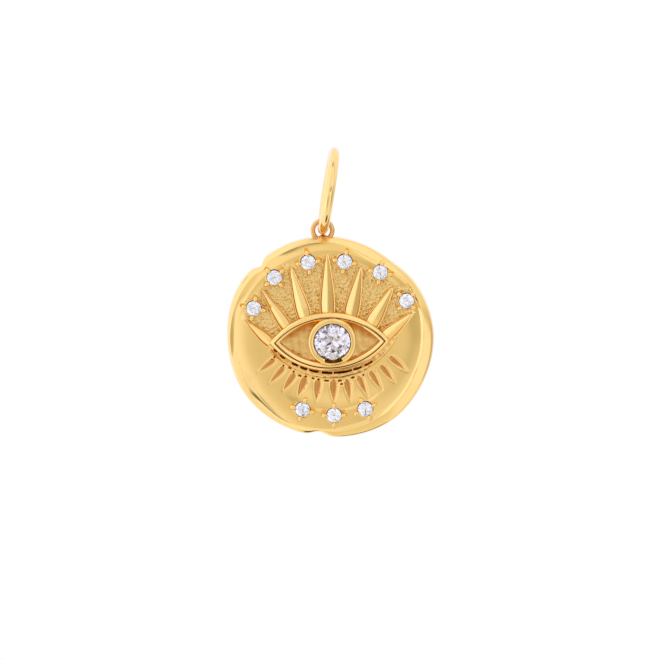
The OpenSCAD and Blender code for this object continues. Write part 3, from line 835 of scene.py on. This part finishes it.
def bezel_rings():
    turn = np.linspace(0, 2 * math.pi, BEZEL_STEPS, endpoint=False)
    below = away_from(270, np.degrees(turn))
    chord = SLOT_CHORD / np.cos(np.radians(np.clip(below, -60, 60)))
    slot = smoothstep(SLOT_REACH + SLOT_END, SLOT_REACH - SLOT_END, np.abs(below)) * (chord - LIP_R)
    rings = []
    for r, w, opens, _ in BEZEL_ROWS:
        radius = r + opens * slot
        rings.append(place(CENTER_MID[0] + radius * np.cos(turn), CENTER_MID[1] + radius * np.sin(turn), w))
    return np.array(rings)


bezel_mesh = closed_rows("bezel", bezel_rings(), row_tones(BEZEL_ROWS, BEZEL_STEPS))
finished("bezel", bezel_mesh)

# Rays. Seven blades stand on the ground, each a narrow raised border round a trough and a taller
# ridged blade. One is modelled and set along each ray's line, stretched to its length and width.
RAY_W, RAY_H = 1.55, 0.62
# Places along a ray, with the half widths there of the whole ray and of its blade, as shares of the widest
RAY_ALONG = (0.0, 0.2, 0.4, 0.58, 0.75, 0.86, 0.94, 0.98, 1.0)
RAY_HALF = (0.94, 1.0, 0.88, 0.70, 0.52, 0.40, 0.28, 0.18, 0.03)
BLADE_HALF = (0.72, 0.78, 0.66, 0.50, 0.34, 0.22, 0.10, 0.03, 0.006)
RAY_BORDER = 0.075
BORDER_Z, TROUGH_Z = 0.50, 0.34
# How much lower the border is at the tip, the widest share of the trough that the blade may fill, and
# the blade's height over its half width
BORDER_FALL, BLADE_FILL, BLADE_SLOPE = 0.10, 0.86, 1.5
# Blade from its foot to its ridge: share of its half width, share of its height
BLADE_ROOF = ((1, 0.04), (0.94, 0.14), (0.7, 0.38), (0.4, 0.67), (0.12, 0.94), (0.03, 1))
# How much darker the painted shade in the recesses is on a ray's left side, seen with its tip up
LEFT_DARKER = 1.6


def even_out(values):
    """Softens the steps between the rows. The two ends stay."""
    values[1:-1] = (values[:-2] + 2 * values[1:-1] + values[2:]) / 4


def ray_mesh():
    """Unit ray: length 1 along X, half width 0.5, standing from the ground at 0 to 1 along Z."""
    t = np.concatenate((np.linspace(0, 0.85, 48, endpoint=False), np.linspace(0.85, 1, 24)))
    half, blade = np.interp(t, RAY_ALONG, RAY_HALF) / 2, np.interp(t, RAY_ALONG, BLADE_HALF) / 2
    for _ in range(3):
        even_out(half)
        even_out(blade)
    inner = np.maximum(half - RAY_BORDER, 0.3 * blade + 0.004)
    closing = smoothstep(0.03, 0.0, inner)
    rows, tones = [], []
    for s, h, b, i, c in zip(t, half, blade, inner, closing):
        b = min(b, BLADE_FILL * i)
        rim = BORDER_Z - BORDER_FALL * s
        trough = TROUGH_Z + (rim - TROUGH_Z) * c
        top = trough + BLADE_SLOPE * b
        # Points of a half section: across, height and painted shade, darkest in the trough
        side = [(h, -0.5, 0.2), (h, 0.8 * rim, 0), (h - 0.012, rim - 0.02, 0),
                (h - 0.35 * (h - i), rim + 0.02, 0), (i + 0.15 * (h - i), rim - 0.02, 0),
                (i, 0.5 * (rim + trough), 0.05), (i - 0.3 * (i - b), trough, 0.7),
                (b + 0.3 * (i - b), trough, 0.7)]
        side += [(share * b, trough + lift * (top - trough), 0) for share, lift in BLADE_ROOF]
        rows.append([(s, a, w) for a, w, _ in side] + [(s, -a, w) for a, w, _ in side[::-1]])
        tones.append([LEFT_DARKER * tone for _, _, tone in side] + [tone for _, _, tone in side[::-1]])
    return closed_rows("ray", np.array(rows), tones)


SHAPE, OBJECT, METAL, COUNT = ("NodeSocket" + kind for kind in ("Geometry", "Object", "Material", "Int"))


def own_value(tree, name, kind):
    """The value of that name on each point."""
    return new_node(tree, "GeometryNodeInputNamedAttribute", {"Name": name}, data_type=kind)


def model_of(tree, given, name):
    """The mesh of the object given under that name."""
    return new_node(tree, "GeometryNodeObjectInfo", {"Object": given[name]}).outputs["Geometry"]


def set_on_points(tree, given, piece, size=(1, 1, 1)):
    """Ends a tree: the piece on each point, at the point's own turn, made real and in its metal."""
    onto = new_node(tree, "GeometryNodeInstanceOnPoints",
                    {"Points": given["Geometry"], "Instance": piece, "Scale": size,
                     "Rotation": own_value(tree, "turn", "FLOAT_VECTOR")})
    real = new_node(tree, "GeometryNodeRealizeInstances", {0: onto})
    paint = new_node(tree, "GeometryNodeSetMaterial", {"Geometry": real, "Material": given["Gold"]})
    new_node(tree, "NodeGroupOutput", {0: paint})
    return tree


def piece_group(name, *inputs):
    """Node group that makes a gold piece on the points it is given."""
    return new_group(name, "GeometryNodeTree", (("Geometry", SHAPE), *inputs, ("Gold", METAL)),
                     (("Geometry", SHAPE),))


def rays_tree():
    """One ray on each root point, turned and stretched by the point's own values."""
    tree, given = piece_group("rays", ("Ray", OBJECT), ("Full width", NUMBER, RAY_W * MM),
                              ("Height", NUMBER, RAY_H * MM))
    width = math_node(tree, "MULTIPLY", given["Full width"], own_value(tree, "share", "FLOAT"))
    size = new_node(tree, "ShaderNodeCombineXYZ",
                    {"X": own_value(tree, "length", "FLOAT"), "Y": width, "Z": given["Height"]})
    return set_on_points(tree, given, model_of(tree, given, "Ray"), size)


def grown(name, points, own_values, tree, values):
    """Runs a tree on loose points with their own values, and returns its result as a plain mesh."""
    seed = bpy.data.meshes.new(name + "_points")
    seed.from_pydata([tuple(p) for p in points], [], [])
    for key, kind, numbers in own_values:
        layer = seed.attributes.new(key, kind, "POINT")
        field = "vector" if kind == "FLOAT_VECTOR" else "value"
        layer.data.foreach_set(field, np.array(numbers, np.float32).ravel())
    carrier = bpy.data.objects.new(name + "_points", seed)
    scene.collection.objects.link(carrier)
    modifier = carrier.modifiers.new(name, "NODES")
    modifier.node_group = tree
    for item in tree.interface.items_tree:
        if item.item_type == "SOCKET" and item.in_out == "INPUT" and item.name in values:
            modifier[item.identifier] = values[item.name]
    carrier.update_tag()
    graph = bpy.context.evaluated_depsgraph_get()
    mesh = bpy.data.meshes.new_from_object(carrier.evaluated_get(graph))
    mesh.name = name
    bpy.data.objects.remove(carrier)
    return mesh


def on_coin_turn(heading):
    """Euler angles that lay a piece's X along the coin's face at that heading and its Z out of it."""
    flat = Matrix(((1, 0, 0), (0, 0, -1), (0, 1, 0)))
    return tuple((flat @ Matrix.Rotation(heading, 3, "Z")).to_euler())


ray_model = bpy.data.objects.new("ray", ray_mesh())
ray_lines = [(tip_u - root_u, tip_v - root_v) for tip_u, tip_v, root_u, root_v, _ in RAYS]
all_rays = grown("rays", [place(*ray[2:4], GROUND_Z) for ray in RAYS],
                 (("length", "FLOAT", [math.hypot(*line) * MM for line in ray_lines]),
                  ("share", "FLOAT", [ray[-1] for ray in RAYS]),
                  ("turn", "FLOAT_VECTOR", [on_coin_turn(math.atan2(v, u)) for u, v in ray_lines])),
                 rays_tree(),
                 {"Ray": ray_model, "Full width": RAY_W * MM, "Height": RAY_H * MM, "Gold": relief_gold})
finished("rays", all_rays, sharp=25)
bpy.data.objects.remove(ray_model)

# Settings. Each small stone sits in a low collar, held by four claws whose round tips bend over
# its edge. They were raised from the same metal, so collars and claws stand straight on the coin.
# Turn of each stone's claws, in degrees
CLAW_TURNS = (-14, 38, 4, -14, -14, 43, -19, -3, 22)
CLAWS, CLAW_AT = 4, 0.97
# Claw from its foot: lean towards the stone, height, radius, painted shade
CLAW_ROWS = ((0, -0.1, 0.25, 0.15), (0, 0.2, 0.25, 0.1), (0, 0.44, 0.25, 0.05), (0.015, 0.56, 0.243, 0),
             (0.03, 0.66, 0.22, 0), (0.045, 0.72, 0.19, 0), (0.055, 0.765, 0.145, 0), (0.06, 0.79, 0.10, 0),
             (0.06, 0.80, 0.06, 0), (0.06, 0.802, 0.02, 0))
CLAW_LONG, CLAW_SLIM = 1.3, 0.98
# Collar from its outer foot over its lip and down inside: lean, height, radius, painted shade
COLLAR_ROWS = ((0, -0.05, 0.96, 0.1), (0, 0.22, 0.93, 0.1), (0, 0.35, 0.88, 0), (0, 0.39, 0.82, 0),
               (0, 0.38, 0.77, 0.2), (0, 0.30, 0.745, 0.7), (0, 0.14, 0.60, 0.9), (0, -0.08, 0.38, 0.9),
               (0, -0.26, 0.12, 0.9))


def turned_piece(name, rows, steps, long=1.0, slim=1.0):
    """Object of round or oval rings, one for each row."""
    turn = np.linspace(0, 2 * math.pi, steps, endpoint=False)
    rings = [np.broadcast_arrays(long * r * np.cos(turn) - lean, slim * r * np.sin(turn), w)
             for lean, w, r, _ in rows]
    points = np.stack(rings).transpose(0, 2, 1) * MM
    return bpy.data.objects.new(name, closed_rows(name, points, row_tones(rows, steps)))


def settings_tree():
    """One setting on each stone's place: a collar and a ring of claws."""
    tree, given = piece_group("stone_settings", ("Claw", OBJECT), ("Collar", OBJECT), ("Claws", COUNT, CLAWS),
                              ("Claw distance", NUMBER, CLAW_AT * MM))
    circle = new_node(tree, "GeometryNodeMeshCircle",
                      {"Vertices": given["Claws"], "Radius": given["Claw distance"]})
    spot = new_node(tree, "GeometryNodeInputPosition")
    x, y, _ = new_node(tree, "ShaderNodeSeparateXYZ", {0: spot}).outputs
    turn = new_node(tree, "ShaderNodeCombineXYZ", {"Z": math_node(tree, "ARCTAN2", y, x)})
    claws = new_node(tree, "GeometryNodeInstanceOnPoints",
                     {"Points": circle, "Instance": model_of(tree, given, "Claw"), "Rotation": turn})
    setting = new_node(tree, "GeometryNodeJoinGeometry", {0: claws})
    feed(tree, setting, {0: model_of(tree, given, "Collar")})
    return set_on_points(tree, given, new_node(tree, "GeometryNodeGeometryToInstance", {0: setting}))


claw_model = turned_piece("claw", CLAW_ROWS, 20, CLAW_LONG, CLAW_SLIM)
collar_model = turned_piece("collar", COLLAR_ROWS, 48)
setting_turns = [on_coin_turn(math.radians(t)) for t in CLAW_TURNS]
settings_mesh = grown("stone_settings", [place(u, v, 0.0) for u, v in stone_mids],
                      (("turn", "FLOAT_VECTOR", setting_turns),), settings_tree(),
                      {"Claw": claw_model, "Collar": collar_model, "Claws": CLAWS,
                       "Claw distance": CLAW_AT * MM, "Gold": relief_gold})
finished("stone_settings", settings_mesh)
bpy.data.objects.remove(claw_model)
bpy.data.objects.remove(collar_model)

# Stones. Clear round brilliants, colourless with a faint lilac cast: one of 3.5 mm and nine of
# 1.45 mm. Their cut is in the solids, with a table, stars, kites and a pointed pavilion.
STONE_POLISH = 0.01
# Colours painted in random cells on the stones, from the darkest to the clearest: painted dark reflections of
# the facets, then the stones' own pale tint. Place on a ramp, red, green, blue
CENTER_TINT_AND_DARK_REFLECTIONS = ((0.0, 0.07, 0.05, 0.05), (0.2, 0.50, 0.41, 0.40), (0.36, 0.94, 0.88, 0.85),
                (0.65, 1.0, 0.97, 0.92))
SMALL_TINT_AND_DARK_REFLECTIONS = ((0.0, 0.60, 0.56, 0.54), (0.3, 0.95, 0.92, 0.86), (0.6, 1.0, 0.98, 0.93))


def stone_material(name, cells, tones, ior):
    material, tree, where = new_material(name)
    # Random cells of painted dark reflections and pale tint over the stone
    tint_and_reflection_cells = new_node(tree, "ShaderNodeTexVoronoi", {"Vector": where, "Scale": cells})
    tone = colour_ramp(tree, tint_and_reflection_cells.outputs["Color"], tones, "CONSTANT")
    feed(tree, tree.nodes["Principled BSDF"],
         {"Base Color": tone, "Roughness": STONE_POLISH, "IOR": ior, "Transmission Weight": 1})
    return material


center_crystal = stone_material("center_crystal", 3400, CENTER_TINT_AND_DARK_REFLECTIONS, ior=1.8)
small_crystal = stone_material("small_crystal", 4200, SMALL_TINT_AND_DARK_REFLECTIONS, ior=2.4)
for node_name in ["center_stone"] + stone_names:
    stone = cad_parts[node_name]
    stone.data.materials.clear()
    stone.data.materials.append(center_crystal if node_name == "center_stone" else small_crystal)

# Loop and ring. Two round wires: the small loop is soldered to the coin's top edge, and the plain
# ring runs through it, leaning to the right as it hangs.
LOOP_MID = (-0.24, 10.53)
LOOP_D, LOOP_WIRE = 2.35 * MM, 0.47 * MM
RING_WIRE = 1.0 * MM
# Painted shade laid evenly over the loop, the solder and the ring
LOOP_SHADE, SOLDER_SHADE, RING_SHADE = 0.42, 0.7, 0.04
RING_STEPS, WIRE_STEPS = 200, 48
# Solder that ran down from the loop over the rim: v, half width, front and back w
SOLDER_ROWS = ((10.14, 0.16, 0.2, -0.2), (10.05, 0.36, 0.34, -0.3), (9.95, 0.46, 0.46, -0.36),
               (9.8, 0.42, 0.56, -0.4), (9.7, 0.3, 0.6, -0.2), (9.62, 0.12, 0.6, 0.3))
SOLDER_STEPS = (26, 36)


def round_wire_tree():
    """A closed ring of round wire about the Z axis."""
    tree, given = piece_group("round_wire", ("Ring radius", NUMBER, 0.003), ("Wire radius", NUMBER, 0.0005),
                              ("Ring steps", COUNT, RING_STEPS), ("Wire steps", COUNT, WIRE_STEPS))
    path, wire = (new_node(tree, "GeometryNodeCurvePrimitiveCircle",
                           {"Radius": given[name + " radius"], "Resolution": given[name + " steps"]})
                  for name in ("Ring", "Wire"))
    ring = new_node(tree, "GeometryNodeCurveToMesh", {"Curve": path, "Profile Curve": wire})
    return set_on_points(tree, given, ring)


round_wire = round_wire_tree()


def wire_ring(name, middle, turn, outer_d, wire_d, shade_level, *body_slot_node):
    mesh = grown(name, [middle], (("turn", "FLOAT_VECTOR", [turn]),), round_wire,
                 {"Ring radius": (outer_d - wire_d) / 2, "Wire radius": wire_d / 2,
                  "Ring steps": RING_STEPS, "Wire steps": WIRE_STEPS, "Gold": wire_gold})
    tint(mesh, "painted_shade", np.full(len(mesh.vertices), shade_level))
    face_outwards(mesh)
    finished(name, mesh, wire_gold, *body_slot_node)


wire_ring("solder_loop", place(*LOOP_MID, 0.0), on_coin_turn(0.0), LOOP_D, LOOP_WIRE, LOOP_SHADE)

solder_marks = np.arange(len(SOLDER_ROWS))
solder_table = np.array([np.interp(np.linspace(0, solder_marks[-1], SOLDER_STEPS[0]), solder_marks, column)
                         for column in zip(*SOLDER_ROWS)]).T
for _ in range(6):
    even_out(solder_table)
solder_turn = np.linspace(0, 2 * math.pi, SOLDER_STEPS[1], endpoint=False)
solder_points = np.array([place(LOOP_MID[0] + half * np.cos(solder_turn), v,
                                (front + back) / 2 + (front - back) / 2 * np.sin(solder_turn))
                          for v, half, front, back in solder_table])
solder_mesh = closed_rows("solder", solder_points, np.full(SOLDER_STEPS, SOLDER_SHADE))
finished("solder", solder_mesh, wire_gold, sharp=0)

ring_low, ring_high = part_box("bail_ring")
ring_d = ring_high.y - ring_low.y
ring_lean = math.asin((ring_high.x - ring_low.x - RING_WIRE) / (ring_d - RING_WIRE))
ring_turn = Matrix.Rotation(ring_lean, 3, "Y") @ Matrix.Rotation(math.pi / 2, 3, "Y")
wire_ring("bail", (ring_low + ring_high) / 2, tuple(ring_turn.to_euler()), ring_d, RING_WIRE, RING_SHADE,
          "ring", "gold_ring", "bail_ring")

# The finished model's box, in metres
low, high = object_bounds()
